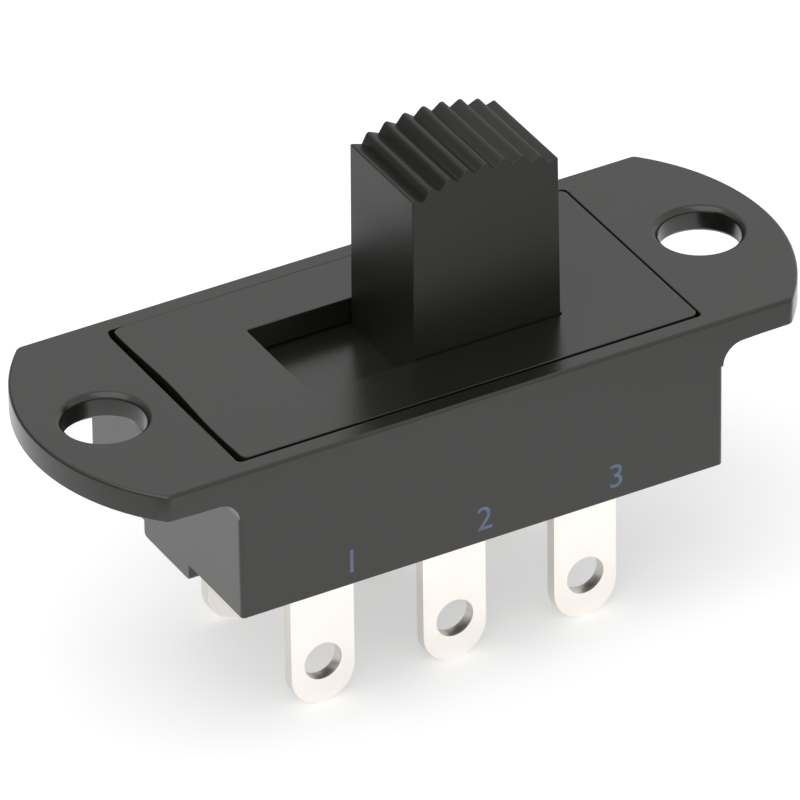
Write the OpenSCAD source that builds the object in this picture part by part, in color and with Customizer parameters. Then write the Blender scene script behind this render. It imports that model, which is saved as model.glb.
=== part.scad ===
// Two-position slide switch with screw ears, a serrated knob and six solder lugs.
// Origin: middle of the ears' top face. X runs along the body, Z up out of the knob.

/* [Ears] */
// Length over both ears
ears_l = 35.1; // [34:0.1:38]
// Width of the ears and the body
body_w = 13.2; // [12.8:0.1:14.4]
// Thickness of the ears
ear_t = 1.27; // [1:0.01:1.6]
// Radius of each ear's round end
ear_r = 9.5; // [8:0.1:11]
// Radius of the corners where the round ends meet the sides
ear_corner_r = 0.4; // [0.3:0.1:2]
// Distance between the mounting holes
hole_pitch = 28.58; // [28.3:0.01:29.5]
// Diameter of the mounting holes
hole_d = 3.56; // [2.5:0.01:3.8]
// Chamfer at each end of the mounting holes
hole_chamfer = 0.2; // [0.05:0.01:0.25]
// Fillet where an ear meets the end wall
ear_fillet = 1; // [0.3:0.1:1.4]

/* [Housing] */
// Length of the box
box_l = 23.1; // [22.9:0.1:23.6]
// Depth of the box below the ears' top face
box_h = 7.2; // [7:0.1:9]
// Radius of the box's upright edges
box_edge_r = 0.2; // [0.1:0.05:0.5]
// Thickness of the rim round the cover
rim_t = 0.85; // [0.6:0.05:1]
// Width of the ledge that carries the cover
ledge_w = 0.5; // [0.3:0.05:0.7]
// Height of the floor's top above the box's bottom edge
floor_top = 1.9; // [1.7:0.05:2.2]
// How far the resin troughs reach past the outer lugs
trough_end = 2.9; // [1.5:0.1:3]
// Depth of the resin troughs
trough_h = 0.6; // [0.3:0.05:0.9]
// Width of the rib between the two rows of lugs
rib_w = 4; // [3:0.1:4.4]
// How far the rib stands below the box
rib_drop = 0.75; // [0.3:0.05:1.5]
// Radius of the rib's lower edges
rib_edge_r = 0.25; // [0.1:0.05:0.4]

/* [Cover] */
// Thickness of the cover plate
cover_t = 1.2; // [0.9:0.01:1.25]
// Gap at the cover's left end
cover_gap_left = 0.28; // [0.05:0.01:0.35]
// Gap round the rest of the cover
cover_gap = 0.06; // [0.03:0.01:0.12]
// Distance from the cover pocket's left end to the end of the box
pocket_left = 0.45; // [0.2:0.01:0.6]
// Distance from the cover pocket's right end to the end of the box
pocket_right = 0.55; // [0.2:0.01:0.6]
// Radius of the cover's corners
cover_corner_r = 0.35; // [0.1:0.05:0.8]
// Radius of the corners of the cover's pocket
pocket_corner_r = 0.2; // [0.1:0.05:0.3]
// Length of the slot for the knob
slot_l = 12; // [11.6:0.05:12.1]
// Clearance between the knob and each side of the slot
slot_gap = 0.1; // [0.05:0.01:0.2]

/* [Knob] */
// Length of the knob at the cover
knob_l = 7.05; // [6.9:0.05:7.4]
// Width of the knob at the cover
knob_w = 5.4; // [4.6:0.1:5.6]
// Height of the knob's top corners above the cover
knob_corner_h = 7.7; // [5:0.1:10]
// Rise of the arched top between its corners
knob_arch_h = 0.8; // [0.4:0.05:1.5]
// How much narrower each side of the knob is at its top
knob_draft = 0.05; // [0.01:0.01:0.15]
// Number of ridges across the top
ridge_count = 8; // [4:1:10]
// Depth of the grooves between the ridges
ridge_h = 0.36; // [0.15:0.01:0.45]
// Width of the flat on each ridge
ridge_land = 0.12; // [0.05:0.01:0.2]

/* [Slider] */
// Clearance between the slider and the cover
slider_gap = 0.07; // [0.03:0.01:0.15]
// Clearance between the slider and each side wall
slider_side_gap = 0.15; // [0.08:0.01:0.3]
// How far the slider reaches past the slot's ends at the stops
slider_overlap = 0.01; // [0.01:0.01:0.03]
// Clearance between the slider's end and the end wall at the stops
slider_end_gap = 0.04; // [0.03:0.01:0.08]
// Clearance between the knob and the slot's end at the stops
stop_gap = 0.05; // [0.03:0.01:0.1]
// Thickness of the slider's closing plate
slider_t = 0.8; // [0.6:0.05:1]
// Length of the carrier under the slider
carrier_l = 12; // [11.6:0.1:13]
// Height of the moulding core up inside the knob
core_h = 5; // [3:0.1:6]

/* [Lugs] */
// Distance between neighbouring lugs
lug_pitch = 6.35; // [6:0.05:6.6]
// Distance of the lugs' middle planes from the centre line
lug_y = 3.67; // [3.5:0.01:3.8]
// Width of a lug
lug_w = 3.05; // [2.4:0.05:3.2]
// Thickness of a lug
lug_t = 0.6; // [0.4:0.05:0.7]
// Depth of the lugs' tips below the ears' top face
lug_tip = 14.65; // [12:0.05:18]
// Diameter of the solder holes
lug_hole_d = 1.75; // [1:0.05:2]
// Height of the solder holes' centres above the tips
lug_hole_up = 2.05; // [1.6:0.05:2.6]
// Inner radius of the bend inside the housing
bend_r = 0.2; // [0.1:0.05:0.3]
// Length of the flat pad inside the housing
pad_l = 2.9; // [2.8:0.05:3]
// Clearance of a lug in its slot through the floor
lug_gap = 0.05; // [0.03:0.01:0.1]

/* [Contacts] */
// Diameter of a contact rivet's head
rivet_d = 1.7; // [1.2:0.05:1.8]
// Height of a contact rivet's head
rivet_h = 0.4; // [0.3:0.05:0.5]
// Diameter of a contact rivet's shank
shank_d = 0.9; // [0.6:0.05:1]
// Clearance between the bridges and the rivets' heads
bridge_gap = 0.05; // [0.03:0.01:0.1]
// Thickness of a bridge
bridge_t = 0.35; // [0.25:0.05:0.4]
// Width of a bridge
bridge_w = 1.9; // [1.6:0.05:2]
// Length of the flat part of a bridge
bridge_flat = 8.6; // [7.6:0.1:8.8]
// Length of each turned-up end of a bridge
bridge_toe = 0.7; // [0.4:0.05:0.8]
// Wire of a bridge spring
bridge_wire = 0.24; // [0.16:0.02:0.28]
// Outer diameter of a bridge spring
bridge_coil_d = 1.6; // [1.4:0.05:1.7]
// Turns of a bridge spring
bridge_turns = 5; // [3:0.5:5.5]

/* [Detent] */
// Diameter of a detent ball
ball_d = 1.1; // [0.9:0.05:1.2]
// Distance of the detent from the slider's middle
detent_x = 3.4; // [3:0.1:4]
// Depth of the detent notches in the side walls
notch_h = 0.2; // [0.1:0.05:0.3]
// Wire of the detent spring
detent_wire = 0.16; // [0.1:0.02:0.2]
// Turns of the detent spring
detent_turns = 14; // [8:1:16]

/* [Hidden] */
rows = ["front", "rear"];
places = ["left", "centre", "right"];

// Where a row and a place lie, counted from the middle
function side(row) = row == "front" ? -1 : 1;
function place_x(place) = lug_pitch * (search([place], places)[0] - 1);

// Middles of the ears' round ends and of their corners, and where one arc runs into the other
ear_x = ears_l / 2 - ear_r;
ear_corner_y = body_w / 2 - ear_corner_r;
ear_corner_x = ear_x + sqrt(pow(ear_r - ear_corner_r, 2) - pow(ear_corner_y, 2));
ear_meet_y = ear_corner_y * ear_r / (ear_r - ear_corner_r);

// The knob's travel in its slot, and the room that the slider needs for it
travel = slot_l - knob_l - 2 * stop_gap;
slider_l = slot_l + travel + 2 * slider_overlap;
cavity_l = slider_l + travel + 2 * slider_end_gap;
end_t = (box_l - cavity_l) / 2;

// The housing's hollow, from the rim down to the floor
pocket_w = body_w - 2 * rim_t;
pocket_x0 = -box_l / 2 + pocket_left;
pocket_x1 = box_l / 2 - pocket_right;
pocket_h = cover_t;
cavity_w = pocket_w - 2 * ledge_w;
floor_z = -box_h + floor_top;
trough_z = -box_h + trough_h;
trough_w = (pocket_w - rib_w) / 2;
trough_y = (pocket_w + rib_w) / 4;
trough_l = 2 * lug_pitch + lug_w + 2 * trough_end;
rib_z = -box_h - rib_drop;

// The cover and the knob
cover_x0 = pocket_x0 + cover_gap_left;
cover_x1 = pocket_x1 - cover_gap;
cover_w = pocket_w - 2 * cover_gap;
slot_w = knob_w + 2 * slot_gap;
knob_x = travel / 2;
arch_half = knob_l / 2 - knob_draft;
arch_r = (arch_half * arch_half + knob_arch_h * knob_arch_h) / (2 * knob_arch_h);
arch_z = knob_corner_h + knob_arch_h - arch_r;
arch_angle = asin(arch_half / arch_r);
knob_top = knob_corner_h + knob_arch_h;

// Slider, carrier and their pockets
slider_z = -cover_t - slider_gap;
slider_w = cavity_w - 2 * slider_side_gap;
carrier_gap = 0.12;
channel_gap = 0.07;
channel_l = bridge_flat + 2 * bridge_toe + 2 * channel_gap;
channel_w = bridge_w + 2 * channel_gap;
channel_head = 0.75;
pocket_roof = 0.6;
spring_room = 0.1;
core_l = 4;
core_w = 1.2;

// Lugs, pads and rivets
pad_sink = 0.2;
pad_z = floor_z - pad_sink;
pad_top = pad_z + lug_t;
lug_out = lug_y + lug_t / 2;
pad_flat = pad_l - lug_t - bend_r;
rivet_y = lug_out - pad_l + pad_flat / 2;
rivet_tail_h = 0.2;
rivet_tail_d = 1.3;
tail_gap = 0.06;
tip_r = lug_w / 2;
hole_z = -lug_tip + lug_hole_up;

// Bridges and their springs
bridge_z = pad_top + rivet_h + bridge_gap;
bridge_top = bridge_z + bridge_t;
toe_angle = 35;
carrier_z = pad_top + rivet_h + carrier_gap;
channel_z = bridge_top + channel_head;
spring_top = slider_z - pocket_roof;
touch = 0.02;

// Detent
ball_y = cavity_w / 2 - ball_d / 2 - touch;
detent_bore_d = ball_d + 0.1;
detent_z = slider_z - pocket_roof / 2 - detent_bore_d / 2;
detent_coil_d = ball_d - 0.1;
notch_r = ball_d / 2 + 0.1;

// Overshoot of a cut past an open face
over = 1;

// Drawing quality
$fn = 64;
wire_sides = 6;
coil_steps = 14;
shade = [0.09, 0.09, 0.09];
silver = [0.82, 0.8, 0.76];

module slab(x0, x1, w, z0, z1) {
    translate([x0, -w / 2, z0]) cube([x1 - x0, w, z1 - z0]);
}

module round_rect(l, w, r) {
    square([l - 2 * r, w], center = true);
    square([l, w - 2 * r], center = true);
    for (x = [-1, 1], y = [-1, 1])
        translate([x * (l / 2 - r), y * (w / 2 - r)]) circle(r);
}

// Outline of the top: a strip whose ends are round, with rounded corners
module ears_outline() {
    square([2 * ear_corner_x, body_w], center = true);
    intersection() {
        square([ears_l, 2 * ear_meet_y], center = true);
        for (x = [-1, 1]) translate([x * ear_x, 0]) circle(ear_r);
    }
    for (x = [-1, 1], y = [-1, 1])
        translate([x * ear_corner_x, y * ear_corner_y]) circle(ear_corner_r);
}

// Through hole, chamfered at both faces of the ear
module mounting_hole() {
    mouth_r = hole_d / 2 + hole_chamfer;
    mouth_h = mouth_r - hole_d / 4;
    translate([0, 0, -ear_t - over]) cylinder(d = hole_d, h = ear_t + 2 * over);
    translate([0, 0, -mouth_h]) cylinder(r1 = hole_d / 4, r2 = mouth_r, h = mouth_h);
    translate([0, 0, -ear_t]) cylinder(r1 = mouth_r, r2 = hole_d / 4, h = mouth_h);
}

// Web between an ear's underside and the end wall, hollowed to a fillet
module ear_web() {
    difference() {
        slab(box_l / 2 - end_t / 2, box_l / 2 + ear_fillet, body_w, -ear_t - ear_fillet, -ear_t);
        translate([box_l / 2 + ear_fillet, body_w, -ear_t - ear_fillet])
            rotate([90, 0, 0]) cylinder(r = ear_fillet, h = 2 * body_w);
    }
}

module rib() {
    rotate([90, 0, 90]) translate([0, 0, -box_l / 2]) linear_extrude(box_l) {
        translate([-rib_w / 2, rib_z + rib_edge_r]) square([rib_w, trough_z - rib_z - rib_edge_r]);
        translate([-rib_w / 2 + rib_edge_r, rib_z]) square([rib_w - 2 * rib_edge_r, rib_edge_r]);
        for (y = [-1, 1])
            translate([y * (rib_w / 2 - rib_edge_r), rib_z + rib_edge_r]) circle(rib_edge_r);
    }
}

// The way a front lug takes through the floor, with the seat of its pad and of its rivet's tail
module lug_way() {
    way_w = lug_w + 2 * lug_gap;
    translate([-way_w / 2, -lug_out - lug_gap, -box_h])
        cube([way_w, lug_t + 2 * lug_gap, box_h + floor_z]);
    translate([-way_w / 2, -lug_out - lug_gap, pad_z - bend_r - lug_gap])
        cube([way_w, lug_t + bend_r + 2 * lug_gap, lug_t]);
    translate([-way_w / 2, -lug_out - lug_gap, pad_z]) cube([way_w, pad_l + 2 * lug_gap, lug_t]);
    translate([0, -rivet_y, pad_z - rivet_tail_h - tail_gap])
        cylinder(d = rivet_tail_d + 2 * tail_gap, h = lug_t);
}

module detent_notches() {
    for (x = [-1, 1], y = [-1, 1])
        translate([x * knob_x + detent_x, y * (cavity_w / 2 + notch_h - notch_r), floor_z + pad_sink])
            cylinder(r = notch_r, h = -cover_t - floor_z - pad_sink);
}

module housing() {
    color(shade) difference() {
        union() {
            translate([0, 0, -ear_t]) linear_extrude(ear_t) ears_outline();
            translate([0, 0, -box_h]) linear_extrude(box_h - ear_t / 2)
                round_rect(box_l, body_w, box_edge_r);
            for (turn = [0, 180]) rotate(turn) ear_web();
            rib();
        }
        for (x = [-1, 1]) translate([x * hole_pitch / 2, 0, 0]) mounting_hole();
        translate([(pocket_x0 + pocket_x1) / 2, 0, -pocket_h]) linear_extrude(pocket_h + over)
            round_rect(pocket_x1 - pocket_x0, pocket_w, pocket_corner_r);
        slab(-cavity_l / 2, cavity_l / 2, cavity_w, floor_z, 0);
        for (y = [-1, 1])
            translate([-trough_l / 2, y * trough_y - trough_w / 2, -box_h - over])
                cube([trough_l, trough_w, trough_h + over]);
        for (row = rows, place = places)
            translate([place_x(place), 0, 0]) mirror([0, row == "rear" ? 1 : 0, 0]) lug_way();
        detent_notches();
    }
}

module cover_plate() {
    cover_l = cover_x1 - cover_x0;
    color(shade) difference() {
        translate([(cover_x0 + cover_x1) / 2, 0, -cover_t])
            linear_extrude(cover_t) round_rect(cover_l, cover_w, cover_corner_r);
        slab(-slot_l / 2, slot_l / 2, slot_w, -cover_t - over, over);
    }
}

// A point on the knob's arched top, by its angle from the middle
function arch_point(angle, depth) = [(arch_r - depth) * sin(angle), arch_z + (arch_r - depth) * cos(angle)];

// The ridged top from right to left: each ridge has a narrow flat, with a groove halfway to the next
function ridge_points() =
    let (step = 2 * arch_angle / ridge_count, land = asin(ridge_land / 2 / arch_r))
    [for (i = [0:ridge_count]) let (middle = arch_angle - i * step) each [
        arch_point(min(middle + land, arch_angle), 0),
        arch_point(max(middle - land, -arch_angle), 0),
        if (i < ridge_count) arch_point(middle - step / 2, ridge_h)
    ]];

module knob() {
    foot = slider_z - slider_t;
    intersection() {
        translate([0, knob_w / 2, 0]) rotate([90, 0, 0]) linear_extrude(knob_w)
            polygon(concat([[-knob_l / 2, foot], [knob_l / 2, foot], [knob_l / 2, 0]], ridge_points(),
                [[-knob_l / 2, 0]]));
        rotate([90, 0, 90]) translate([0, 0, -knob_l / 2]) linear_extrude(knob_l)
            polygon([[-knob_w / 2, foot], [knob_w / 2, foot], [knob_w / 2, 0],
                [knob_w / 2 - knob_draft, knob_top],
                [-knob_w / 2 + knob_draft, knob_top], [-knob_w / 2, 0]]);
    }
}

module actuator() {
    color(shade) translate([knob_x, 0, 0]) difference() {
        union() {
            knob();
            slab(-slider_l / 2, slider_l / 2, slider_w, slider_z - slider_t, slider_z);
            slab(-carrier_l / 2, carrier_l / 2, slider_w, carrier_z, slider_z);
        }
        slab(-core_l / 2, core_l / 2, core_w, carrier_z - over, core_h);
        for (y = [-1, 1]) {
            translate([0, y * rivet_y, 0])
                slab(-channel_l / 2, channel_l / 2, channel_w, carrier_z - over, channel_z);
            translate([0, y * rivet_y, carrier_z])
                cylinder(d = bridge_coil_d + 2 * spring_room, h = spring_top - carrier_z);
        }
        translate([detent_x, slider_w / 2 + over, detent_z])
            rotate([90, 0, 0]) cylinder(d = detent_bore_d, h = slider_w + 2 * over);
    }
}

// A front lug: solder tag, upright through the floor, bend and pad
module terminal(row, place) {
    color(silver) translate([place_x(place), 0, 0]) mirror([0, row == "rear" ? 1 : 0, 0]) difference() {
        union() {
            translate([0, -lug_out, 0]) rotate([90, 0, 180]) linear_extrude(lug_t) {
                translate([-lug_w / 2, -lug_tip + tip_r])
                    square([lug_w, lug_tip - tip_r + pad_top - lug_t - bend_r]);
                translate([0, -lug_tip + tip_r]) circle(tip_r);
            }
            rotate([90, 0, 90]) translate([0, 0, -lug_w / 2]) linear_extrude(lug_w) bend_section();
            translate([-lug_w / 2, -lug_out + lug_t + bend_r, pad_z])
                cube([lug_w, pad_l - lug_t - bend_r, lug_t]);
        }
        translate([0, -lug_out - over, hole_z])
            rotate([-90, 0, 0]) cylinder(d = lug_hole_d, h = lug_t + 2 * over);
        translate([0, -rivet_y, pad_z - over]) cylinder(d = shank_d, h = lug_t + 2 * over);
    }
}

// Quarter ring from the upright to the pad, in the YZ plane
module bend_section() {
    reach = lug_t + bend_r;
    translate([-lug_out + reach, pad_z - bend_r]) intersection() {
        difference() {
            circle(reach);
            circle(bend_r);
        }
        translate([-reach, 0]) square([reach, reach]);
    }
}

// Head, shank and upset tail of a contact rivet
module rivet(row, place) {
    cap_r = (rivet_d * rivet_d / 4 + rivet_h * rivet_h) / (2 * rivet_h);
    color(silver) translate([place_x(place), side(row) * rivet_y, 0]) {
        translate([0, 0, pad_z - rivet_tail_h]) cylinder(d = rivet_tail_d, h = rivet_tail_h);
        translate([0, 0, pad_z]) cylinder(d = shank_d, h = lug_t);
        intersection() {
            translate([0, 0, pad_top + rivet_h - cap_r]) sphere(cap_r);
            translate([0, 0, pad_top]) cylinder(d = rivet_d, h = rivet_h);
        }
    }
}

// A flat strip with both ends turned up, in the XZ plane
module contact_bridge(row) {
    half = bridge_flat / 2;
    rise = [bridge_toe, bridge_toe * tan(toe_angle)];
    lean = bridge_t * tan(toe_angle / 2);
    right_side = [[half, 0], [half + rise[0], rise[1]], [half + rise[0] - lean, rise[1] + bridge_t],
        [half - lean, bridge_t]];
    left_side = [for (i = [3:-1:0]) [-right_side[i][0], right_side[i][1]]];
    color(silver) translate([knob_x, side(row) * rivet_y + bridge_w / 2, bridge_z])
        rotate([90, 0, 0]) linear_extrude(bridge_w) polygon(concat(right_side, left_side));
}

// A round wire wound along Z from 0 to h
module coil(coil_d, wire, turns, h) {
    rings = floor(turns * coil_steps);
    r = (coil_d - wire) / 2;
    lean = atan((h - wire) / (turns * 2 * PI * r));
    points = [for (i = [0:rings], k = [0:wire_sides - 1])
        let (a = 360 * i / coil_steps, b = 360 * k / wire_sides,
            out = r + wire / 2 * cos(b), up = wire / 2 * sin(b))
        [out * cos(a) + up * sin(lean) * sin(a), out * sin(a) - up * sin(lean) * cos(a),
            wire / 2 + (h - wire) * i / rings + up * cos(lean)]];
    ends = [[for (k = [0:wire_sides - 1]) k], [for (k = [wire_sides - 1:-1:0]) rings * wire_sides + k]];
    walls = [for (i = [0:rings - 1], k = [0:wire_sides - 1])
        let (a = i * wire_sides + k, b = i * wire_sides + (k + 1) % wire_sides)
        [a, a + wire_sides, b + wire_sides, b]];
    polyhedron(points, concat(ends, walls));
}

module bridge_spring(row) {
    color("silver") translate([knob_x, side(row) * rivet_y, bridge_top + touch])
        coil(bridge_coil_d, bridge_wire, bridge_turns, spring_top - bridge_top - 2 * touch);
}

module detent_ball(row) {
    color("silver") translate([knob_x + detent_x, side(row) * ball_y, detent_z]) sphere(d = ball_d);
}

module detent_spring() {
    half = ball_y - ball_d / 2 - touch;
    color("silver") translate([knob_x + detent_x, half, detent_z]) rotate([90, 0, 0])
        coil(detent_coil_d, detent_wire, detent_turns, 2 * half);
}

// Resin that fills one trough round the lugs
module potting(row) {
    sink = 0.1;
    color([0.12, 0.12, 0.11]) difference() {
        translate([-trough_l / 2, side(row) * trough_y - trough_w / 2, -box_h + sink])
            cube([trough_l, trough_w, trough_h - sink]);
        for (place = places)
            translate([place_x(place) - lug_w / 2, side(row) * lug_y - lug_t / 2, -box_h - over])
                cube([lug_w, lug_t, trough_h + 2 * over]);
    }
}

housing();
cover_plate();
actuator();
for (row = rows, place = places) {
    terminal(row, place);
    rivet(row, place);
}
for (row = rows) {
    contact_bridge(row);
    bridge_spring(row);
    detent_ball(row);
    potting(row);
}
detent_spring();
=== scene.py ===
import math

import bmesh
import bpy
from mathutils import Matrix, Vector


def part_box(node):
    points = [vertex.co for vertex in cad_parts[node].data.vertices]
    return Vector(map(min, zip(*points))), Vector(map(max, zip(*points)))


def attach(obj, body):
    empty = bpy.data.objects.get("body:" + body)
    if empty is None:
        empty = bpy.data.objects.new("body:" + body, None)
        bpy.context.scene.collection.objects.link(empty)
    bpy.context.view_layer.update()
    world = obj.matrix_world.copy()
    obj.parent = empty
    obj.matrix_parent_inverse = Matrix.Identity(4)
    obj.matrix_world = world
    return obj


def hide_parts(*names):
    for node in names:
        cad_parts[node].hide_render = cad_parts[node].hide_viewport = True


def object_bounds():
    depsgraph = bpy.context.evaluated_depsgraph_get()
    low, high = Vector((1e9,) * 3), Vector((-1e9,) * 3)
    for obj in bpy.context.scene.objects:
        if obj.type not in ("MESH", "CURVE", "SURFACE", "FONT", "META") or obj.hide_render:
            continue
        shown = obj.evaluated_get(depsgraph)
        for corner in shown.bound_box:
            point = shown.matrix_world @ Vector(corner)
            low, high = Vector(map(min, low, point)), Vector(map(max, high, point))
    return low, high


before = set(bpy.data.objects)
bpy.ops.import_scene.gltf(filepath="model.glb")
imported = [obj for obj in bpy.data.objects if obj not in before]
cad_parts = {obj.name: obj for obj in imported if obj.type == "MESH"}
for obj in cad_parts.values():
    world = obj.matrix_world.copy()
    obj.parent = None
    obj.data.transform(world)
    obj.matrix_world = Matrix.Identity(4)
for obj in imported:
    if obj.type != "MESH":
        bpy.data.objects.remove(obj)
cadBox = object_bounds()
scene = bpy.context.scene
mm = 0.001
slack = 0.01 * mm  # how far a point may lie off a plane and still count as on it
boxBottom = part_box("potting_front")[0].z - 0.1 * mm  # the resin lies 0.1 mm up in its troughs
print("frame loaded:", len(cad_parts), "nodes")


# Colours, nodes and materials
def toLinear(hexCode):
    channels = [int(hexCode[i:i + 2], 16) / 255 for i in (1, 3, 5)]
    return tuple(c / 12.92 if c <= 0.04045 else ((c + 0.055) / 1.055) ** 2.4 for c in channels) + (1,)


# Adds a node with its settings; an input takes a number, a socket, a node (its first output) or a list
def addNode(tree, kind, inputs=None, **settings):
    node = tree.nodes.new(kind)
    for name, value in settings.items():
        setattr(node, name, value)
    for key, value in (inputs or {}).items():
        for one in value if isinstance(value, list) else [value]:
            source = one.outputs[0] if isinstance(one, bpy.types.Node) else one
            if isinstance(source, bpy.types.NodeSocket):
                tree.links.new(source, node.inputs[key])
            else:
                node.inputs[key].default_value = source
    return node


def newMaterial(name):
    material = bpy.data.materials.new(name)
    material.use_nodes = True
    tree = material.node_tree
    place = addNode(tree, "ShaderNodeTexCoord").outputs["Object"]
    return material, tree, tree.nodes["Principled BSDF"], place


noiseRange = (0.3, 0.7)  # where most values of a noise texture lie


# Black nylon: injection moulded in a finely eroded steel mould, so it is satin
# and mirrors softly at low angles
def mouldedNylon(name, look):
    material, tree, shader, place = newMaterial(name)
    cloud = addNode(tree, "ShaderNodeTexNoise", {"Vector": place, "Detail": 3,
                                                 "Scale": 1 / (look["cloud"] * mm)})
    colour = addNode(tree, "ShaderNodeMix", {0: cloud,
                                             6: toLinear(look["dark"]),
                                             7: toLinear(look["light"])}, data_type="RGBA")
    tree.links.new(colour.outputs[2], shader.inputs["Base Color"])
    rough = addNode(tree, "ShaderNodeMapRange", {"Value": cloud,
                                                 "From Min": noiseRange[0],
                                                 "From Max": noiseRange[1],
                                                 "To Min": look["roughness"] - look["spread"],
                                                 "To Max": look["roughness"] + look["spread"]})
    tree.links.new(rough.outputs[0], shader.inputs["Roughness"])
    grain = addNode(tree, "ShaderNodeTexNoise", {"Vector": place, "Detail": 2, "Roughness": 0.6,
                                                 "Scale": 1 / (look["grain"] * mm)})
    bump = addNode(tree, "ShaderNodeBump", {"Height": grain, "Strength": look["relief"],
                                            "Distance": look["grainDepth"] * mm})
    tree.links.new(bump.outputs[0], shader.inputs["Normal"])
    shader.inputs["IOR"].default_value = look["ior"]
    return material


bodyLook = {
    "dark": "#161812",
    "light": "#1c1e18",
    "ior": 1.55,
    "roughness": 0.24,
    "spread": 0.03,
    "grain": 0.13,  # mm from pit to pit; the real grain is finer, and would not show
    "grainDepth": 0.006,  # mm
    "relief": 0.5,
    "cloud": 5.0,  # mm across a patch of slightly other shade
}
bodyNylon = mouldedNylon("blackNylonMoulding", bodyLook)
# The knob is duller, in a coarser finish for the finger
knobLook = dict(bodyLook, dark="#12150e", light="#171a13", ior=1.45, roughness=0.42)
knobNylon = mouldedNylon("mattNylonMoulding", knobLook)


# Bright plate on drawn strip: a mirror softened by fine lines along the strip
def platedStrip(name, look):
    material, tree, shader, place = newMaterial(name)
    stretch = addNode(tree, "ShaderNodeMapping", {"Vector": place, "Scale": (1, 1, look["stretch"])})
    lines = addNode(tree, "ShaderNodeTexNoise", {"Vector": stretch, "Detail": 4,
                                                 "Scale": 1 / (look["line"] * mm)})
    cloud = addNode(tree, "ShaderNodeTexNoise", {"Vector": place, "Detail": 4,
                                                 "Scale": 1 / (look["cloud"] * mm)})
    colour = addNode(tree, "ShaderNodeMix", {0: cloud,
                                             6: toLinear(look["bright"]),
                                             7: toLinear(look["dull"])}, data_type="RGBA")
    tree.links.new(colour.outputs[2], shader.inputs["Base Color"])
    rough = addNode(tree, "ShaderNodeMapRange", {"Value": lines,
                                                 "To Min": look["roughness"] - look["spread"],
                                                 "To Max": look["roughness"] + look["spread"]})
    tree.links.new(rough.outputs[0], shader.inputs["Roughness"])
    bump = addNode(tree, "ShaderNodeBump", {"Height": lines, "Strength": look["relief"],
                                            "Distance": look["lineDepth"] * mm})
    tree.links.new(bump.outputs[0], shader.inputs["Normal"])
    shader.inputs["Metallic"].default_value = 1
    return material


lugLook = {
    "bright": "#f6f2ef",
    "dull": "#eae3dd",
    "roughness": 0.22,
    "spread": 0.06,
    "line": 0.07,  # mm between drawing lines
    "lineDepth": 0.00875,
    "relief": 0.15,
    "stretch": 0.08,  # the lines are long along the strip
    "cloud": 1.6,  # mm across a patch of slightly other shade
}
lugPlate = platedStrip("tinPlatedStrip", lugLook)
# The edge is torn through by the press, so it is rougher and greyer
shearedLook = dict(lugLook, bright="#dcd8d2", dull="#cfcac3", roughness=0.4)
shearedEdge = platedStrip("shearedStripEdge", shearedLook)
# Silver contacts are coined, and have no drawing lines
silverLook = dict(lugLook, bright="#f4f2ee", dull="#e4e0d8", roughness=0.3, stretch=1)
contactSilver = platedStrip("fineSilver", silverLook)
# Spring wire is drawn through a polished die: bright, even and a little bluer
wireLook = dict(lugLook, bright="#c9cbcd", dull="#aeb0b2", roughness=0.26, stretch=1)
springWire = platedStrip("drawnSpringSteel", wireLook)


# Poured epoxy: glossy, almost black, with a few faint swirls
def potResin(name, look):
    material, tree, shader, place = newMaterial(name)
    swirl = addNode(tree, "ShaderNodeTexNoise", {"Vector": place, "Detail": 2,
                                                 "Scale": 1 / (look["swirl"] * mm),
                                                 "Distortion": look["twist"]})
    colour = addNode(tree, "ShaderNodeMix", {0: swirl,
                                             6: toLinear(look["dark"]),
                                             7: toLinear(look["light"])}, data_type="RGBA")
    tree.links.new(colour.outputs[2], shader.inputs["Base Color"])
    bump = addNode(tree, "ShaderNodeBump", {"Height": swirl, "Strength": look["relief"],
                                            "Distance": look["swirlDepth"] * mm})
    tree.links.new(bump.outputs[0], shader.inputs["Normal"])
    shader.inputs["Roughness"].default_value = look["roughness"]
    return material


resinLook = {
    "dark": "#1d1c19",
    "light": "#2b2924",
    "roughness": 0.14,
    "swirl": 2,  # mm from swirl to swirl
    "swirlDepth": 0.05,
    "twist": 1.5,
    "relief": 0.3,
}
resin = potResin("pouredEpoxy", resinLook)


# Pad-printing ink: thin, matt, and a little patchy where the pad lifted
def padInk(name, look):
    material, tree, shader, place = newMaterial(name)
    patch = addNode(tree, "ShaderNodeTexNoise", {"Vector": place, "Detail": 3,
                                                 "Scale": 1 / (look["patch"] * mm)})
    colour = addNode(tree, "ShaderNodeMix", {0: patch,
                                             6: toLinear(look["thin"]),
                                             7: toLinear(look["full"])}, data_type="RGBA")
    tree.links.new(colour.outputs[2], shader.inputs["Base Color"])
    bump = addNode(tree, "ShaderNodeBump", {"Height": patch, "Strength": look["relief"],
                                            "Distance": look["patchDepth"] * mm})
    tree.links.new(bump.outputs[0], shader.inputs["Normal"])
    shader.inputs["Roughness"].default_value = look["roughness"]
    return material


inkLook = {
    "thin": "#566279",
    "full": "#7683a0",
    "roughness": 0.6,
    "patch": 0.35,  # mm across a patch
    "patchDepth": 0.01,
    "relief": 0.2,
}
ink = padInk("padPrintInk", inkLook)
print("materials made")


# Meshes
meshLimits = {
    "weld": 0.0005,  # mm between points that are one
    "flat": 0.2,  # degrees between faces that are one
    "sharp": 28,  # degrees from which an edge is rounded
    "crease": 40,  # degrees from which it is shaded as an edge
    "wall": 0.2,  # a face is upright when its normal rises less than this
}


def linkPiece(name, mesh, *materials):
    piece = bpy.data.objects.new(name, mesh)
    scene.collection.objects.link(piece)
    for material in materials:
        mesh.materials.append(material)
    return piece


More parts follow.
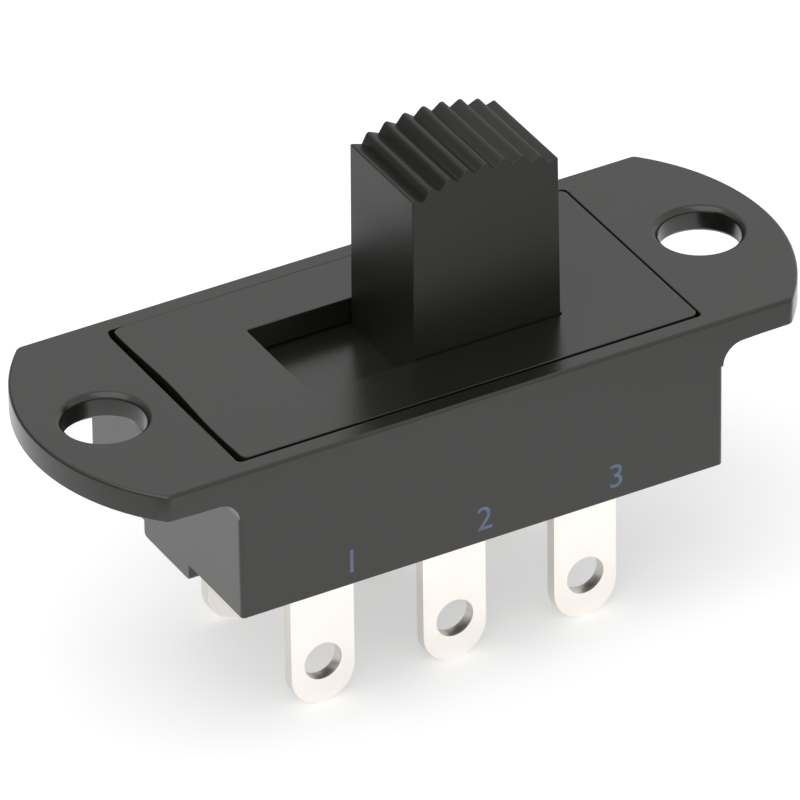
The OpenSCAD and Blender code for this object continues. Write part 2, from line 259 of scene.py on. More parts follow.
def applyModifiers(piece):
    depsgraph = bpy.context.evaluated_depsgraph_get()
    mesh = bpy.data.meshes.new_from_object(piece.evaluated_get(depsgraph), depsgraph=depsgraph)
    piece.modifiers.clear()
    piece.data = mesh
    return piece


def mergedCopy(node):
    shape = bmesh.new()
    shape.from_mesh(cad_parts[node].data)
    bmesh.ops.remove_doubles(shape, verts=shape.verts, dist=meshLimits["weld"] * mm)
    flat = math.radians(meshLimits["flat"])
    bmesh.ops.dissolve_limit(shape, angle_limit=flat, verts=shape.verts, edges=shape.edges)
    return shape


# Rounds the sharp edges, each by the share of the width that its weight gives, and shades the flats flat.
# The normals that came with a solid go, because they would hide some of its sharp edges.
def softenEdges(shape, name, material, width, segments, weightOf):
    weights = shape.edges.layers.float.new("bevel_weight_edge")
    for edge in shape.edges:
        if len(edge.link_faces) == 2 and edge.calc_face_angle() > math.radians(meshLimits["sharp"]):
            edge[weights] = weightOf(edge)
    for face in shape.faces:
        face.smooth = True
    mesh = bpy.data.meshes.new(name)
    shape.to_mesh(mesh)
    shape.free()
    mesh.materials.clear()
    if "custom_normal" in mesh.attributes:
        mesh.attributes.remove(mesh.attributes["custom_normal"])
    piece = linkPiece(name, mesh, material)
    bevel = piece.modifiers.new("edges", "BEVEL")
    bevel.limit_method = "WEIGHT"
    bevel.width = width * mm
    bevel.segments = segments
    bevel.use_clamp_overlap = False
    bevel.loop_slide = False
    applyModifiers(piece)
    piece.data.set_sharp_from_angle(angle=math.radians(meshLimits["crease"]))
    weighted = piece.modifiers.new("normals", "WEIGHTED_NORMAL")
    weighted.keep_sharp = True
    return applyModifiers(piece)


def openEdges(shape):
    return sum(1 for edge in shape.edges if len(edge.link_faces) != 2)


def declare(piece, body, nodes):
    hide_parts(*nodes)
    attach(piece, body)


# Geometry Nodes
socketKinds = {
    int: "Int",
    float: "Float",
    tuple: "Vector",
    bpy.types.Material: "Material",
    bpy.types.Object: "Object",
}


def newTree(name, inputs):
    tree = bpy.data.node_groups.new(name, "GeometryNodeTree")
    for inputName, value in inputs.items():
        kind = "NodeSocket" + socketKinds[type(value)]
        tree.interface.new_socket(inputName, in_out="INPUT", socket_type=kind)
    tree.interface.new_socket("Geometry", in_out="OUTPUT", socket_type="NodeSocketGeometry")
    return tree, addNode(tree, "NodeGroupInput").outputs


def endTree(tree, geometry, material):
    real = addNode(tree, "GeometryNodeRealizeInstances", {"Geometry": geometry})
    painted = addNode(tree, "GeometryNodeSetMaterial", {"Geometry": real, "Material": material})
    addNode(tree, "NodeGroupOutput", {"Geometry": painted})
    return painted


def growPiece(tree, name, inputs):
    piece = linkPiece(name, bpy.data.meshes.new(name))
    modifier = piece.modifiers.new("shape", "NODES")
    modifier.node_group = tree
    for item in tree.interface.items_tree:
        if item.in_out == "INPUT":
            modifier[item.identifier] = inputs[item.name]
    return applyModifiers(piece)


# Knob: its ridged top follows an arch, and the walls run down from the top's outline
knobSize = {
    "length": 7.05,
    "width": 5.4,
    "archRise": 0.8,
    "draft": 0.05,  # how much narrower each side is at the top
    "ridges": 8,
    "stepsPerRidge": 12,
    "grooveDepth": 0.36,
    "land": 0.09,  # width of the flat on each ridge
    "soft": 0.12,  # rounding of the ridges and the grooves, as a share of the groove's depth
    "shallow": 0.03,  # where the wave is cut off, as shares of the same
    "deep": 0.97,
    "edge": 0.045,
    "edgeSteps": 3,
    "coreLength": 4,  # hollow inside the knob, open below
    "coreWidth": 1.2,
    "coreHeight": 5,
    "coverGap": 0.07,  # from the slider up to the cover
    "seam": 0.5,  # degrees between strips of one wall
    "bend": 5,  # degrees between the edges of one outline
    "weld": 0.02,  # where the knob's walls meet the slider
}
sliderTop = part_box("cover_plate")[0].z - knobSize["coverGap"] * mm
knobMiddle = (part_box("actuator")[0].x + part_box("actuator")[1].x) / 2
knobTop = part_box("actuator")[1].z


def knobTree(inputs):
    tree, given = newTree("ridgedKnob", inputs)
    count = addNode(tree, "ShaderNodeMath", {0: given["Ridges"], 1: given["Steps per ridge"], 2: 1},
                    operation="MULTIPLY_ADD")
    grid = addNode(tree, "GeometryNodeMeshGrid", {"Size X": 1, "Size Y": 1, "Vertices X": count,
                                                  "Vertices Y": 2})
    spot = addNode(tree, "ShaderNodeSeparateXYZ", {0: addNode(tree, "GeometryNodeInputPosition")})
    share = addNode(tree, "ShaderNodeMath", {0: spot.outputs["X"], 1: 0.5}, operation="ADD")
    phase = addNode(tree, "ShaderNodeMath", {0: share, 1: given["Ridges"]}, operation="MULTIPLY")
    fromRidge = addNode(tree, "ShaderNodeMath", {0: phase, 1: 0.5}, operation="PINGPONG")
    wave = addNode(tree, "ShaderNodeMapRange", {"Value": fromRidge, "From Min": given["Land share"],
                                                "From Max": 0.5})
    bottom = addNode(tree, "ShaderNodeMath", {0: wave, 1: given["Shallow"], 2: given["Soft"]},
                     operation="SMOOTH_MAX")
    depth = addNode(tree, "ShaderNodeMath", {0: bottom, 1: given["Deep"], 2: given["Soft"]},
                    operation="SMOOTH_MIN")
    sunk = addNode(tree, "ShaderNodeMath", {0: depth, 1: given["Groove depth"]}, operation="MULTIPLY")
    reach = addNode(tree, "ShaderNodeMath", {0: given["Arch radius"], 1: sunk}, operation="SUBTRACT")
    angle = addNode(tree, "ShaderNodeMath", {0: spot.outputs["X"], 1: given["Arch angle"]},
                    operation="MULTIPLY")
    cosine = addNode(tree, "ShaderNodeMath", {0: angle}, operation="COSINE")
    sine = addNode(tree, "ShaderNodeMath", {0: angle}, operation="SINE")
    height = addNode(tree, "ShaderNodeMath", {0: reach, 1: cosine, 2: given["Arch centre"]},
                     operation="MULTIPLY_ADD")
    along = addNode(tree, "ShaderNodeMath", {0: reach, 1: sine}, operation="MULTIPLY")
    width = addNode(tree, "ShaderNodeMath", {0: height, 1: given["Side draft"], 2: given["Width"]},
                    operation="MULTIPLY_ADD")
    across = addNode(tree, "ShaderNodeMath", {0: spot.outputs["Y"], 1: width}, operation="MULTIPLY")
    arched = addNode(tree, "ShaderNodeCombineXYZ", {"X": along, "Y": across, "Z": height})
    top = addNode(tree, "GeometryNodeSetPosition", {"Geometry": grid.outputs["Mesh"], "Position": arched})
    neighbours = addNode(tree, "GeometryNodeInputMeshEdgeNeighbors")
    rim = addNode(tree, "ShaderNodeMath", {0: neighbours, 1: 1, 2: 0.5}, operation="COMPARE")
    wall = addNode(tree, "GeometryNodeExtrudeMesh", {"Mesh": top, "Selection": rim, "Offset Scale": 0},
                   mode="EDGES")
    here = addNode(tree, "ShaderNodeSeparateXYZ", {0: addNode(tree, "GeometryNodeInputPosition")})
    side = addNode(tree, "ShaderNodeMath", {0: here.outputs["Y"]}, operation="SIGN")
    halfWidth = addNode(tree, "ShaderNodeMath", {0: given["Width"], 1: 0.5}, operation="MULTIPLY")
    footAcross = addNode(tree, "ShaderNodeMath", {0: side, 1: halfWidth}, operation="MULTIPLY")
    footAlong = addNode(tree, "ShaderNodeMath", {0: here.outputs["X"], 1: given["Length spread"]},
                        operation="MULTIPLY")
    footPlace = addNode(tree, "ShaderNodeCombineXYZ", {"X": footAlong, "Y": footAcross, "Z": given["Foot"]})
    foot = addNode(tree, "GeometryNodeSetPosition", {"Geometry": wall, "Selection": wall.outputs["Top"],
                                                     "Position": footPlace})
    middle = addNode(tree, "ShaderNodeCombineXYZ", {"X": given["Middle"]})
    placed = addNode(tree, "GeometryNodeTransform", {"Geometry": foot, "Translation": middle})
    endTree(tree, placed, given["Material"])
    return tree


def makeActuator():
    half = knobSize["length"] / 2 - knobSize["draft"]
    archRadius = (half ** 2 + knobSize["archRise"] ** 2) / (2 * knobSize["archRise"])
    inputs = {
        "Ridges": knobSize["ridges"],
        "Steps per ridge": knobSize["stepsPerRidge"],
        "Arch radius": archRadius * mm,
        "Arch centre": knobTop - archRadius * mm,
        "Arch angle": 2 * math.asin(half / archRadius),
        "Groove depth": knobSize["grooveDepth"] * mm,
        "Soft": knobSize["soft"],
        "Shallow": knobSize["shallow"],
        "Deep": knobSize["deep"],
        "Land share": knobSize["land"] / knobSize["length"] * knobSize["ridges"] / 2,
        "Width": knobSize["width"] * mm,
        "Side draft": -2 * knobSize["draft"] * mm / knobTop,
        "Length spread": knobSize["length"] / 2 / half,
        "Foot": sliderTop,
        "Middle": knobMiddle,
        "Material": knobNylon,
    }
    knob = growPiece(knobTree(inputs), "knobShape", inputs)
    shape = bmesh.new()
    shape.from_mesh(knob.data)
    bpy.data.objects.remove(knob)
    upright = meshLimits["wall"]
    seams = [e for e in shape.edges if len(e.link_faces) == 2
             and e.calc_face_angle() < math.radians(knobSize["seam"])
             and all(abs(f.normal.z) < upright for f in e.link_faces)]
    bmesh.ops.dissolve_edges(shape, edges=seams, use_verts=False)
    straight = [v for v in shape.verts if v.is_boundary and len(v.link_edges) == 2
                and abs(v.calc_edge_angle(0)) < math.radians(knobSize["bend"])]
    bmesh.ops.dissolve_verts(shape, verts=straight)

    def ofKnob(spot):
        inCore = (abs(spot.x - knobMiddle) < knobSize["coreLength"] / 2 * mm + slack
                  and abs(spot.y) < knobSize["coreWidth"] / 2 * mm + slack
                  and spot.z < knobSize["coreHeight"] * mm + slack)
        return spot.z > sliderTop + slack and not inCore

    # The knob's outside takes the place of the solid's, on the solid's slider and carrier
    carrier = mergedCopy("actuator")
    outer = [f for f in carrier.faces if ofKnob(f.calc_center_median())]
    bmesh.ops.delete(carrier, geom=outer, context="FACES")
    rest = bpy.data.meshes.new("carrierShape")
    carrier.to_mesh(rest)
    carrier.free()
    shape.from_mesh(rest)
    bpy.data.meshes.remove(rest)
    bmesh.ops.remove_doubles(shape, verts=shape.verts, dist=knobSize["weld"] * mm)
    bmesh.ops.recalc_face_normals(shape, faces=shape.faces)
    print("actuator: open edges", openEdges(shape))

    def onOutline(edge):
        spot = (edge.verts[0].co + edge.verts[1].co) / 2
        walls = [f for f in edge.link_faces
                 if abs(f.normal.z) < upright and max(abs(f.normal.x), abs(f.normal.y)) > 1 - upright / 2]
        return 1 if walls and ofKnob(spot) else 0

    width, steps = knobSize["edge"], knobSize["edgeSteps"]
    piece = softenEdges(shape, "knobAndSlider", knobNylon, width, steps, onOutline)
    piece.data.materials.append(bodyNylon)
    for face in piece.data.polygons:  # the slider isn't handled, and keeps the body's finish
        if face.center.z < sliderTop + slack:
            face.material_index = 1
    return piece


declare(makeActuator(), "actuator", ["actuator"])
print("actuator made")


# Housing: the moulding's edges are as soft as its mould's, and crisper round the cover's pocket
housingSize = {
    "edge": 0.15,
    "edgeSteps": 3,
    "lowerEdge": 0.5,  # share of the edge below the top
    "pocketEdge": 0.5,  # the same round the cover's pocket, and along its far side
    "farEdge": 0.1,
    "outlineTurn": 60,  # degrees from which an edge of the top is part of its outline
    "boxEnd": 11.55,
    "webLength": 1.0,
    "webDepth": 2.27,
    "webInside": 0.5,  # how far a web's edges reach in past the end wall, and in from the side
    "webSide": 0.3,
    "earThickness": 1.27,
    "pocketLeft": 0.35,  # how far past the cover's left end the pocket's edges lie
    "mouthHalf": 0.96,  # where the screw holes' lower mouths meet the webs' fillets
    "mouthReach": 0.26,
    "mouthDepth": (-1.5, -1.1),
    "ledge": 0.002,  # the ledge there is thinner than this
    "margin": 0.1,
}


def makeHousing():
    shape = mergedCopy("housing")
    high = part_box("housing")[1]
    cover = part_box("cover_plate")
    margin = housingSize["margin"] * mm
    ledge = housingSize["ledge"] * mm
    boxEnd = housingSize["boxEnd"] * mm
    filletStart = boxEnd + housingSize["webLength"] * mm
    earBottom = -housingSize["earThickness"] * mm
    webBottom = -housingSize["webDepth"] * mm

    def atMouth(spot, room):
        past = abs(spot.x) - filletStart
        return (abs(spot.y) < housingSize["mouthHalf"] * mm + room
                and -housingSize["mouthReach"] * mm - room < past < room + ledge)

    # Each mouth leaves a thin ledge in the fillet: its points are drawn to where the fillet starts
    for vert in shape.verts:
        if abs(vert.co.z - earBottom) < ledge and atMouth(vert.co, 0):
            vert.co.x = math.copysign(filletStart, vert.co.x)
    print("housing: open edges", openEdges(shape))

    def softness(edge):
        spot = (edge.verts[0].co + edge.verts[1].co) / 2
        mouthLow, mouthHigh = [depth * mm for depth in housingSize["mouthDepth"]]
        inPocket = (cover[0].x - housingSize["pocketLeft"] * mm < spot.x < cover[1].x + margin
                    and abs(spot.y) < cover[1].y + margin)
        atWeb = (boxEnd - housingSize["webInside"] * mm < abs(spot.x) < filletStart + margin
                 and abs(spot.y) > high.y - housingSize["webSide"] * mm
                 and webBottom - margin < spot.z < earBottom + margin)
        if atWeb or inPocket and boxBottom + slack < spot.z < high.z - slack:
            return 0
        if atMouth(spot, margin) and mouthLow < spot.z < mouthHigh:
            return 0
        if inPocket and spot.z > -slack:
            return housingSize["farEdge"] if spot.y > cover[1].y - margin else housingSize["pocketEdge"]
        sharp = edge.calc_face_angle() > math.radians(housingSize["outlineTurn"])
        return 1 if spot.z > -slack and sharp else housingSize["lowerEdge"]

    width, steps = housingSize["edge"], housingSize["edgeSteps"]
    return softenEdges(shape, "housingShell", bodyNylon, width, steps, softness)


declare(makeHousing(), "housing", ["housing"])
print("housing made")


# Cover plate: a flat moulding with the knob's slot; its left end is wavy, so the gap there is uneven
coverSize = {
    "corner": 0.35,
    "slotLength": 12,
    "slotWidth": 5.6,
    "slotCorner": 0.12,
    "edge": 0.07,
    "edgeSteps": 2,
    "farEdge": 0.2,  # share of the edge along the far side
    "shift": 0.055,  # the plate sits this far towards the rear in its pocket
    "wave": 0.06,  # how far the left end strays to each side
    "waveLength": 0.7,  # shares of the plate's width
    "waveStart": 0.245,
    "cornerSteps": 6,
    "endSteps": 28,
}


def roundedLoop(left, right, half, radius, steps):
    corners = [(right - radius, half - radius, 0), (left + radius, half - radius, 90),
               (left + radius, radius - half, 180), (right - radius, radius - half, 270)]
    points = []
    for x, y, start in corners:
        for i in range(steps + 1):
            turn = math.radians(start + 90 * i / steps)
            points.append([x + radius * math.cos(turn), y + radius * math.sin(turn)])
    return points


def makeCover():
    low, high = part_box("cover_plate")
    shift = coverSize["shift"] * mm
    radius = coverSize["corner"] * mm
    steps = coverSize["cornerSteps"]
    outer = roundedLoop(low.x, high.x, high.y, radius, steps)
    straight = high.y - radius
    pieces = coverSize["endSteps"]
    leftEnd = [[low.x, straight * (1 - 2 * i / pieces)] for i in range(1, pieces)]
    outer[2 * (steps + 1):2 * (steps + 1)] = leftEnd  # between the two left corners
    for point in outer:
        if point[0] < low.x + radius:
            down = (high.y - point[1]) / (2 * high.y)
            turn = 2 * math.pi * (down - coverSize["waveStart"]) / coverSize["waveLength"]
            point[0] += coverSize["wave"] * mm * math.sin(turn)
    slotLength = coverSize["slotLength"] / 2 * mm
    slotWidth = coverSize["slotWidth"] / 2 * mm
    slot = roundedLoop(-slotLength, slotLength, slotWidth, coverSize["slotCorner"] * mm, steps)
    shape = bmesh.new()
    rim = []
    for loop in (outer, slot):
        ring = [shape.verts.new((x, y + shift, high.z)) for x, y in loop]
        rim += [shape.edges.new((ring[i - 1], ring[i])) for i in range(len(ring))]
    bmesh.ops.triangle_fill(shape, edges=rim, use_beauty=True, normal=(0, 0, 1))
    flat = math.radians(meshLimits["flat"])
    bmesh.ops.dissolve_limit(shape, angle_limit=flat, verts=[], edges=shape.edges)
    lower = bmesh.ops.extrude_face_region(shape, geom=list(shape.faces), use_keep_orig=True)["geom"]
    lowerVerts = [v for v in lower if isinstance(v, bmesh.types.BMVert)]
    bmesh.ops.translate(shape, vec=(0, 0, low.z - high.z), verts=lowerVerts)
    bmesh.ops.recalc_face_normals(shape, faces=shape.faces)
    print("cover: open edges", openEdges(shape))

    def softness(edge):
        far = min(v.co.y for v in edge.verts) > high.y + shift - slack
        return coverSize["farEdge"] if far else 1

    return softenEdges(shape, "coverPlate", bodyNylon, coverSize["edge"], coverSize["edgeSteps"], softness)


declare(makeCover(), "housing", ["cover_plate"])
print("cover made")


# Solder lugs: one stamped tag with softened edges, set out in two rows of three that face apart
lugSize = {
    "pitch": 6.35,
    "inRow": 3,
    "edge": 0.05,
    "edgeSteps": 2,
    "edgeLimit": 0.45,  # a face that looks this little along Y is a cut edge
}


def lugTree(inputs):
    tree, given = newTree("lugRows", inputs)
    tag = addNode(tree, "GeometryNodeObjectInfo", {"Object": given["Tag"]}).outputs["Geometry"]
    line = addNode(tree, "GeometryNodeMeshLine", {"Count": given["In a row"], "Offset": given["Step"],
                                                  "Start Location": given["First"]})
    front = addNode(tree, "GeometryNodeInstanceOnPoints", {"Points": line, "Instance": tag})
    rear = addNode(tree, "GeometryNodeTransform", {"Geometry": front, "Rotation": (0, 0, math.pi)})
    both = addNode(tree, "GeometryNodeJoinGeometry", {"Geometry": [front, rear]})
    plated = endTree(tree, both, given["Plate"])
    facing = addNode(tree, "ShaderNodeSeparateXYZ", {0: addNode(tree, "GeometryNodeInputNormal")})
    turned = addNode(tree, "ShaderNodeMath", {0: facing.outputs["Y"]}, operation="ABSOLUTE")
    sheared = addNode(tree, "ShaderNodeMath", {0: turned, 1: given["Edge limit"]}, operation="LESS_THAN")
    edged = addNode(tree, "GeometryNodeSetMaterial", {"Geometry": plated, "Selection": sheared,
                                                      "Material": given["Edge"]})
    tree.links.new(edged.outputs[0], tree.nodes["Group Output"].inputs[0])
    return tree


def makeLugs():
    solid = mergedCopy("terminal_front_centre")
    tag = softenEdges(solid, "tagShape", lugPlate, lugSize["edge"], lugSize["edgeSteps"], lambda edge: 1)
    pitch = lugSize["pitch"] * mm
    inputs = {
        "Tag": tag,
        "In a row": lugSize["inRow"],
        "First": (-pitch * (lugSize["inRow"] - 1) / 2, 0, 0),
        "Step": (pitch, 0, 0),
        "Plate": lugPlate,
        "Edge": shearedEdge,
        "Edge limit": lugSize["edgeLimit"],
    }
    lugs = growPiece(lugTree(inputs), "solderLugs", inputs)
    bpy.data.objects.remove(tag)
    return lugs


declare(makeLugs(), "housing", [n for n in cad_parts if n.startswith("terminal")])
print("lugs made")


# Coil springs: a round wire wound on a spiral, stood at each of its places
bridgeSpring = {"wire": 0.24, "turns": 5.0}
detentSpring = {"wire": 0.16, "turns": 14.0}
coilSteps = {"perTurn": 24, "roundWire": 10}


def coilTree(inputs):
    tree, given = newTree("coilSpring", inputs)
    path = addNode(tree, "GeometryNodeCurveSpiral", {"Resolution": coilSteps["perTurn"],
                                                     "Rotations": given["Turns"],
                                                     "Start Radius": given["Radius"],
                                                     "End Radius": given["Radius"],
                                                     "Height": given["Height"]})
    wire = addNode(tree, "GeometryNodeCurvePrimitiveCircle", {"Resolution": coilSteps["roundWire"],
                                                              "Radius": given["Wire radius"]})
    coil = addNode(tree, "GeometryNodeCurveToMesh", {"Curve": path, "Profile Curve": wire,
                                                     "Fill Caps": True})
    spots = addNode(tree, "GeometryNodeMeshLine", {"Count": given["Count"], "Offset": given["Step"],
                                                   "Start Location": given["First"]})
    stood = addNode(tree, "GeometryNodeInstanceOnPoints", {"Points": spots, "Instance": coil,
                                                           "Rotation": given["Turned"]})
    endTree(tree, stood, given["Material"])
    return tree


def makeSprings(name, size, nodes, lengthAxis, turned):
    low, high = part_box(nodes[0])
    wire = size["wire"] * mm
    first = (low + high) / 2
    first[lengthAxis] = low[lengthAxis] + wire / 2
    if turned[0]:  # a coil that is laid over grows from its far end
        first[lengthAxis] = high[lengthAxis] - wire / 2
    last = (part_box(nodes[-1])[0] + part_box(nodes[-1])[1]) / 2
    inputs = {
        "Turns": size["turns"],
        "Radius": (high.x - low.x - wire) / 2,
        "Height": high[lengthAxis] - low[lengthAxis] - wire,
        "Wire radius": wire / 2,
        "Count": len(nodes),
        "First": tuple(first),
        "Step": (0.0, last.y - first.y if len(nodes) > 1 else 0.0, 0.0),
        "Turned": turned,
        "Material": springWire,
    }
    return growPiece(coilTree(inputs), name, inputs)


bridgeNodes = ["bridge_spring_front", "bridge_spring_rear"]
bridgeSprings = makeSprings("bridgeSprings", bridgeSpring, bridgeNodes, 2, (0.0, 0.0, 0.0))
declare(bridgeSprings, "actuator", bridgeNodes)
detentCoil = makeSprings("detentSpring", detentSpring, ["detent_spring"], 1, (math.pi / 2, 0.0, 0.0))
declare(detentCoil, "actuator", ["detent_spring"])
print("springs made")


# Resin beds: poured with the switch upside down, so each creeps a little up its walls and its lugs
resinSize = {
    "creep": 0.07,  # how far it creeps, and how far from a wall that begins
    "reach": 0.22,
    "columns": 110,
    "rows": 18,
    "lugWidth": 3.05,
    "lugThickness": 0.6,
}


def makeResin():
    shape = bmesh.new()
    lugWidth = resinSize["lugWidth"] / 2 * mm
    lugThickness = resinSize["lugThickness"] / 2 * mm
    for node in ("potting_front", "potting_rear"):
        low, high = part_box(node)
        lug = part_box(node.replace("potting", "terminal") + "_centre")
        lugY = lug[0].y + lugThickness if low.y < 0 else lug[1].y - lugThickness
        columns, rows = resinSize["columns"], resinSize["rows"]
        grid = bmesh.ops.create_grid(shape, x_segments=columns, y_segments=rows, size=0.5)
        for vert in grid["verts"]:
            x = low.x + (vert.co.x + 0.5) * (high.x - low.x)
            y = low.y + (vert.co.y + 0.5) * (high.y - low.y)
            near = min(x - low.x, high.x - x, y - low.y, high.y - y)
            for i in (-1, 0, 1):
                past = (max(abs(x - i * lugSize["pitch"] * mm) - lugWidth, 0),
                        max(abs(y - lugY) - lugThickness, 0))
                near = min(near, math.hypot(*past))
            vert.co = (x, y, low.z - resinSize["creep"] * mm * math.exp(-near / (resinSize["reach"] * mm)))
        rim = [e for v in grid["verts"] for e in v.link_edges if e.is_boundary]
        raised = bmesh.ops.extrude_edge_only(shape, edges=list(dict.fromkeys(rim)))["geom"]
        ring = [g for g in raised if isinstance(g, bmesh.types.BMVert)]
        for vert in ring:
            vert.co.z = high.z
        bmesh.ops.contextual_create(shape, geom=[g for g in raised if isinstance(g, bmesh.types.BMEdge)])
    bmesh.ops.recalc_face_normals(shape, faces=shape.faces)
    print("resin: open edges", openEdges(shape))
    return softenEdges(shape, "resinBeds", resin, 0.01, 1, lambda edge: 0)  # no edge is rounded here


declare(makeResin(), "housing", ["potting_front", "potting_rear"])
print("resin made")


# Pad print: plain numbers over the lugs, counted round the switch
printSize = {
    "height": 1.15,
    "film": 0.008,  # how far the ink stands proud
    "above": 0.62,  # from the box's bottom edge
    "digitShare": 0.7,  # a digit's height as a share of the font's size
    "curveSteps": 4,
    "numbers": {-1: "123", 1: "456"},
}


def makePrint():
    low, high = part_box("housing")
    shape = bmesh.new()
    for side, digits in printSize["numbers"].items():
        for i, digit in enumerate(digits):
            text = bpy.data.curves.new("digit", "FONT")
            text.body = digit
            text.size = printSize["height"] * mm / printSize["digitShare"]
            text.align_x = "CENTER"
            text.extrude = printSize["film"] * mm
            text.resolution_u = printSize["curveSteps"]
            stamp = bpy.data.objects.new("digit", text)
            scene.collection.objects.link(stamp)
            mesh = bpy.data.meshes.new_from_object(stamp)
            bpy.data.objects.remove(stamp)
            x = (i - 1) * lugSize["pitch"] * mm
            face = high.y if side > 0 else low.y
            upright = Matrix.Rotation(math.pi / 2, 4, "X")
            facing = Matrix.Rotation(math.pi if side > 0 else 0, 4, "Z")
            place = Matrix.Translation((x, face, boxBottom + printSize["above"] * mm))
            mesh.transform(place @ (facing @ upright))
            shape.from_mesh(mesh)
            bpy.data.meshes.remove(mesh)
    bmesh.ops.remove_doubles(shape, verts=shape.verts, dist=meshLimits["weld"] * mm)
    mesh = bpy.data.meshes.new("padPrint")
    shape.to_mesh(mesh)
    shape.free()
    mesh.materials.clear()
    return linkPiece("padPrint", mesh, ink)


padPrint = makePrint()
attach(padPrint, "housing")
print("print made")


# Finishes of the frame's own solids: the rivets, bridges and balls inside are shown as they are
for nodeName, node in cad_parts.items():
    finish = contactSilver
    if nodeName.startswith("terminal"):
        finish = lugPlate
    elif nodeName.startswith(("bridge_spring", "detent")):
        finish = springWire
    elif nodeName.startswith("potting"):
        finish = resin
    elif nodeName == "actuator":
        finish = knobNylon
    elif nodeName in ("housing", "cover_plate"):
        finish = bodyNylon
    if not node.material_slots:
        node.data.materials.append(finish)
    for slot in node.material_slots:
        slot.material = finish
print("solids finished")


# Floor: a matt pale sweep, lit up to white where the camera sees it, with a pool of painted light round the
# object that only its reflections show
floorSize = {
    "half": 1.5,  # m
    "colour": "#ececec",
    "roughness": 0.9,
    "glow": 0.42,  # what the camera sees on top of the light that falls on it
    "paintedMirrorGlow": 0.58,  # painted light: a glow the floor gives only to reflections, brightest near the object; it fades out over the reach
    "reach": (30, 65),  # mm from the middle
}


def makeFloor():
    half = floorSize["half"]
    z = cadBox[0].z
    mesh = bpy.data.meshes.new("floor")
    corners = [(-half, -half, z), (half, -half, z), (half, half, z), (-half, half, z)]
    mesh.from_pydata(corners, [], [(0, 1, 2, 3)])
    material, tree, shader, place = newMaterial("paleSweep")
    shader.inputs["Base Color"].default_value = toLinear(floorSize["colour"])
    shader.inputs["Roughness"].default_value = floorSize["roughness"]
    shader.inputs["Specular IOR Level"].default_value = 0
    seen = addNode(tree, "ShaderNodeLightPath").outputs
    # Painted light: for glossy rays only, the floor glows more round the object, and the glow fades with
    # distance from the middle
    away = addNode(tree, "ShaderNodeVectorMath", {0: place}, operation="LENGTH").outputs["Value"]
    fade = addNode(tree, "ShaderNodeMapRange", {"Value": away, "From Min": floorSize["reach"][0] * mm,
                                                "From Max": floorSize["reach"][1] * mm,
                                                "To Min": floorSize["paintedMirrorGlow"], "To Max": 0})
    paintedMirrorLight = addNode(tree, "ShaderNodeMath", {0: seen["Is Glossy Ray"], 1: fade}, operation="MULTIPLY")
    glow = addNode(tree, "ShaderNodeMath", {0: seen["Is Camera Ray"], 1: floorSize["glow"], 2: paintedMirrorLight},
                   operation="MULTIPLY_ADD")
    tree.links.new(glow.outputs[0], shader.inputs["Emission Strength"])
    shader.inputs["Emission Color"].default_value = (1, 1, 1, 1)
    linkPiece("floor", mesh, material)


makeFloor()


# Light: one softbox, in a white tent that the object mirrors from above and hardly at eye level
lightSetup = {
    "ambient": 0.6,  # light on the object from all round
    "horizon": 0.22,  # what it mirrors of the room at eye level, and of the tent over it
    "tent": 1.06,
    "tentEdge": (-0.2, 0.24),  # heights on a sphere of radius 1, along the tent's axis
    "tentAxis": (0.3, -0.4, 1),
    "keyPower": 1.0,  # W
    "keySize": 0.5,  # m
    "keyPlace": (-0.18, -0.12, 0.42),
}


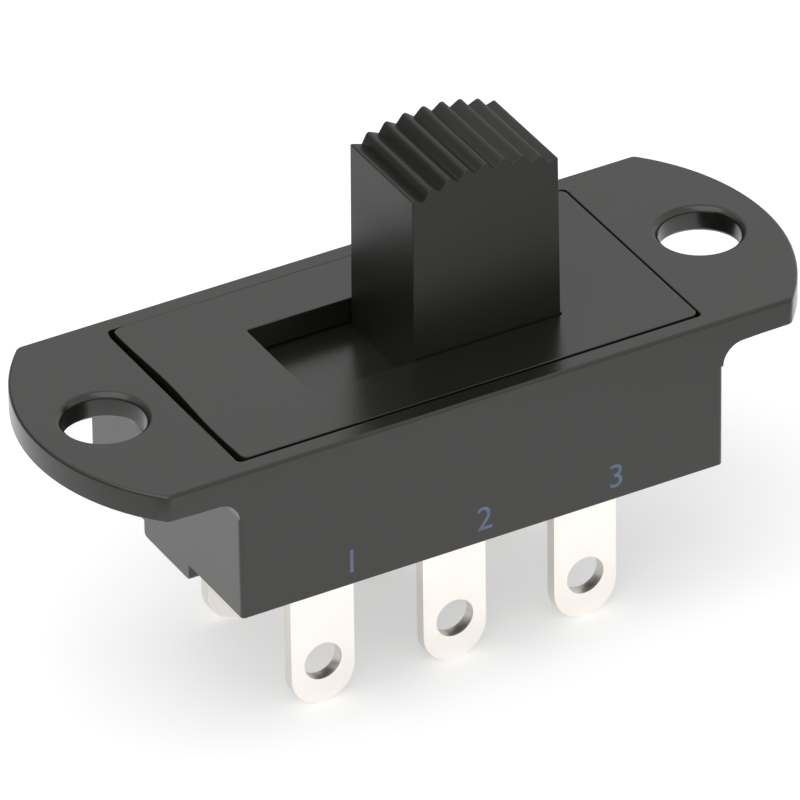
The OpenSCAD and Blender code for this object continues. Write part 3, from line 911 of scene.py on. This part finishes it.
def makeLight():
    world = bpy.data.worlds.new("whiteTent")
    scene.world = world
    world.use_nodes = True
    tree = world.node_tree
    rays = addNode(tree, "ShaderNodeLightPath").outputs
    white = addNode(tree, "ShaderNodeMath", {0: rays["Is Camera Ray"], 1: rays["Is Transmission Ray"]},
                    operation="MAXIMUM")
    plain = addNode(tree, "ShaderNodeMapRange", {"Value": white, "To Min": lightSetup["ambient"],
                                                 "To Max": 1.0})
    toSky = addNode(tree, "ShaderNodeTexCoord").outputs["Generated"]
    height = addNode(tree, "ShaderNodeVectorMath", {0: toSky, 1: lightSetup["tentAxis"]},
                     operation="DOT_PRODUCT").outputs["Value"]
    sky = addNode(tree, "ShaderNodeMapRange", {"Value": height,
                                               "From Min": lightSetup["tentEdge"][0],
                                               "From Max": lightSetup["tentEdge"][1],
                                               "To Min": lightSetup["horizon"],
                                               "To Max": lightSetup["tent"]},
                  interpolation_type="SMOOTHSTEP")
    level = addNode(tree, "ShaderNodeMix", {0: rays["Is Glossy Ray"], 2: plain, 3: sky})
    tree.nodes["Background"].inputs["Color"].default_value = (1, 1, 1, 1)
    tree.links.new(level.outputs[0], tree.nodes["Background"].inputs["Strength"])
    lamp = bpy.data.lights.new("softbox", "AREA")
    lamp.energy = lightSetup["keyPower"]
    lamp.size = lightSetup["keySize"]
    key = bpy.data.objects.new("softbox", lamp)
    key.location = lightSetup["keyPlace"]
    key.rotation_mode = "QUATERNION"
    key.rotation_quaternion = Vector(lightSetup["keyPlace"]).to_track_quat("Z", "Y")
    scene.collection.objects.link(key)


makeLight()


# Camera: a long lens, placed as the photo's was
cameraSetup = {
    "azimuth": -28.96,  # degrees round the object, to its left
    "elevation": 32.8,
    "roll": -0.79,
    "distance": 504.7,  # mm
    "aim": (-0.222, -3.235),  # mm to the right of and above the origin, as the camera sees them
    "lens": 543.2,  # mm, as is the sensor's width
    "sensor": 36,
    "nearest": 0.01,  # m
}


def makeCamera():
    azimuth, elevation, roll = [math.radians(cameraSetup[k]) for k in ("azimuth", "elevation", "roll")]
    back = Vector((math.sin(azimuth) * math.cos(elevation), -math.cos(azimuth) * math.cos(elevation),
                   math.sin(elevation)))
    right = Vector((math.cos(azimuth), math.sin(azimuth), 0))
    up = back.cross(right)
    turned = [math.cos(roll) * right + math.sin(roll) * up, -math.sin(roll) * right + math.cos(roll) * up]
    aim = (cameraSetup["aim"][0] * turned[0] + cameraSetup["aim"][1] * turned[1]) * mm
    place = back * cameraSetup["distance"] * mm
    forward = (aim - place).normalized()
    side = forward.cross(turned[1]).normalized()
    basis = Matrix((side, side.cross(forward), -forward)).transposed()
    data = bpy.data.cameras.new("photoCamera")
    data.sensor_width = cameraSetup["sensor"]
    data.lens = cameraSetup["lens"]
    data.clip_start = cameraSetup["nearest"]
    camera = bpy.data.objects.new("photoCamera", data)
    camera.matrix_world = Matrix.Translation(place) @ basis.to_4x4()
    scene.collection.objects.link(camera)
    scene.camera = camera


makeCamera()
scene.view_settings.view_transform = "Standard"
print("stage made")
